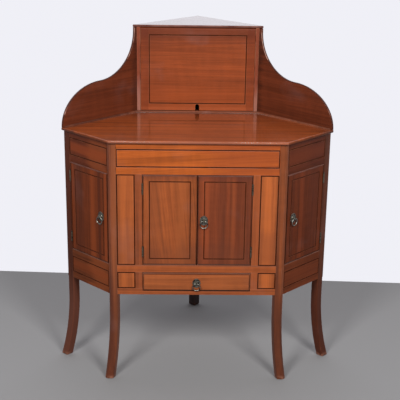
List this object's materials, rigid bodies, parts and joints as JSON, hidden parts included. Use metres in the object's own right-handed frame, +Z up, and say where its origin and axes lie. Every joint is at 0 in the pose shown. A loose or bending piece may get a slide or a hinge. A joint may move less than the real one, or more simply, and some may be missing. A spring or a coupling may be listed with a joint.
{
  "type": "corner washstand",
  "caption": "Corner washstand with canted sides, hinged doors, a drawer, ring pulls, shaped galleries and a small flap-fronted cupboard under a triangular board.",
  "frame": {"origin": "on the floor, in the middle of the object's width and depth", "axes": "+Z up, -Y towards the front doors, +X to the right of someone facing the front; the room corner is at +Y"},
  "size_m": [0.9668, 0.6461, 1.162],
  "materials": {
    "mahogany": "orange-brown polished mahogany, worn",
    "dark_mahogany": "dark polished mahogany, worn",
    "post_mahogany": "reddish polished mahogany, scuffed at the feet",
    "polished_mahogany": "glossy polished mahogany with rubbed edges",
    "secondary_wood": "dry unpolished softwood and oak",
    "trim_wood": "polished with rubbed high edges",
    "dark_stringing": "dark stained line, flush",
    "aged_brass": "aged, grey-green in the recesses"
  },
  "bodies": {
    "carcass": {"back_board_left": "secondary_wood", "back_board_right": "secondary_wood", "back_post": "secondary_wood", "bottom_board": "secondary_wood", "cupboard_floor": "secondary_wood", "door_stops": "secondary_wood", "drawer_runners": "secondary_wood", "foot_beads": "trim_wood", "frame_hinge_leaves": "aged_brass", "frame_stringing": "dark_stringing", "front_bottom_rail": "mahogany", "front_infill_panels": "mahogany", "front_middle_rail": "mahogany", "front_post_left": "post_mahogany", "front_post_right": "post_mahogany", "front_stiles": "mahogany", "front_top_rail": "mahogany", "gallery_left": "dark_mahogany", "gallery_right": "dark_mahogany", "glue_blocks": "secondary_wood", "hinge_pins": "aged_brass", "main_top": "polished_mahogany", "outer_post_left": "post_mahogany", "outer_post_right": "post_mahogany", "partitions": "secondary_wood", "side_lower_panel_left": "dark_mahogany", "side_lower_panel_right": "dark_mahogany", "side_top_rail_left": "dark_mahogany", "side_top_rail_right": "dark_mahogany", "upper_board": "polished_mahogany", "upper_stiles": "mahogany"},
    "front_door_left": {"front_door_left_board": "mahogany", "front_door_trim_left": "trim_wood", "front_door_hinge_leaves_left": "aged_brass"},
    "front_door_right": {"front_door_right_board": "mahogany", "front_door_trim_right": "trim_wood", "front_door_hinge_leaves_right": "aged_brass", "front_door_right_pull_plate": "aged_brass"},
    "side_door_left": {"side_door_board_left": "dark_mahogany", "side_door_trim_left": "trim_wood", "side_door_hinge_leaves_left": "aged_brass", "side_door_pull_plate_left": "aged_brass"},
    "side_door_right": {"side_door_board_right": "dark_mahogany", "side_door_trim_right": "trim_wood", "side_door_hinge_leaves_right": "aged_brass", "side_door_pull_plate_right": "aged_brass"},
    "drawer": {"drawer_front": "mahogany", "drawer_cockbead": "trim_wood", "drawer_sides": "secondary_wood", "drawer_back": "secondary_wood", "drawer_bottom": "secondary_wood", "drawer_pull_plate": "aged_brass"},
    "flap": {"flap_board": "mahogany", "flap_stringing": "dark_stringing", "flap_pins": "aged_brass"},
    "front_door_ring": {"front_door_right_pull_ring": "aged_brass"},
    "drawer_ring": {"drawer_pull_ring": "aged_brass"},
    "side_door_left_ring": {"side_door_pull_ring_left": "aged_brass"},
    "side_door_right_ring": {"side_door_pull_ring_right": "aged_brass"}
  },
  "joints": [
    {"name": "front_door_left_hinge", "type": "hinge", "parent": "carcass", "child": "front_door_left", "pos_m": [-0.18149, -0.29667, 0.57549], "axis": [0, 0, -1], "range_deg": [0, 150]},
    {"name": "front_door_right_hinge", "type": "hinge", "parent": "carcass", "child": "front_door_right", "pos_m": [0.18149, -0.29667, 0.57549], "axis": [0, 0, 1], "range_deg": [0, 150]},
    {"name": "side_door_left_hinge", "type": "hinge", "parent": "carcass", "child": "side_door_left", "pos_m": [-0.43317, -0.152, 0.57549], "axis": [0, 0, -1], "range_deg": [0, 90]},
    {"name": "side_door_right_hinge", "type": "hinge", "parent": "carcass", "child": "side_door_right", "pos_m": [0.43317, -0.152, 0.57549], "axis": [0, 0, 1], "range_deg": [0, 90]},
    {"name": "drawer_slide", "type": "slide", "parent": "carcass", "child": "drawer", "axis": [0, -1, 0], "range_m": [0, 0.3]},
    {"name": "flap_pivot", "type": "hinge", "parent": "carcass", "child": "flap", "pos_m": [0, 0.10246, 1.1465], "axis": [-1, 0, 0], "range_deg": [0, 90]},
    {"name": "front_door_ring_pivot", "type": "hinge", "parent": "front_door_right", "child": "front_door_ring", "pos_m": [0.0221, -0.30347, 0.57709], "axis": [-1, 0, 0], "range_deg": [-10, 165]},
    {"name": "drawer_ring_pivot", "type": "hinge", "parent": "drawer", "child": "drawer_ring", "pos_m": [0, -0.30347, 0.35145], "axis": [-1, 0, 0], "range_deg": [-10, 165]},
    {"name": "side_door_left_ring_pivot", "type": "hinge", "parent": "side_door_left", "child": "side_door_left_ring", "pos_m": [-0.32689, -0.26789, 0.57709], "axis": [-0.7071, 0.7071, 0], "range_deg": [-10, 165]},
    {"name": "side_door_right_ring_pivot", "type": "hinge", "parent": "side_door_right", "child": "side_door_right_ring", "pos_m": [0.32689, -0.26789, 0.57709], "axis": [-0.7071, -0.7071, 0], "range_deg": [-10, 165]}
  ]
}
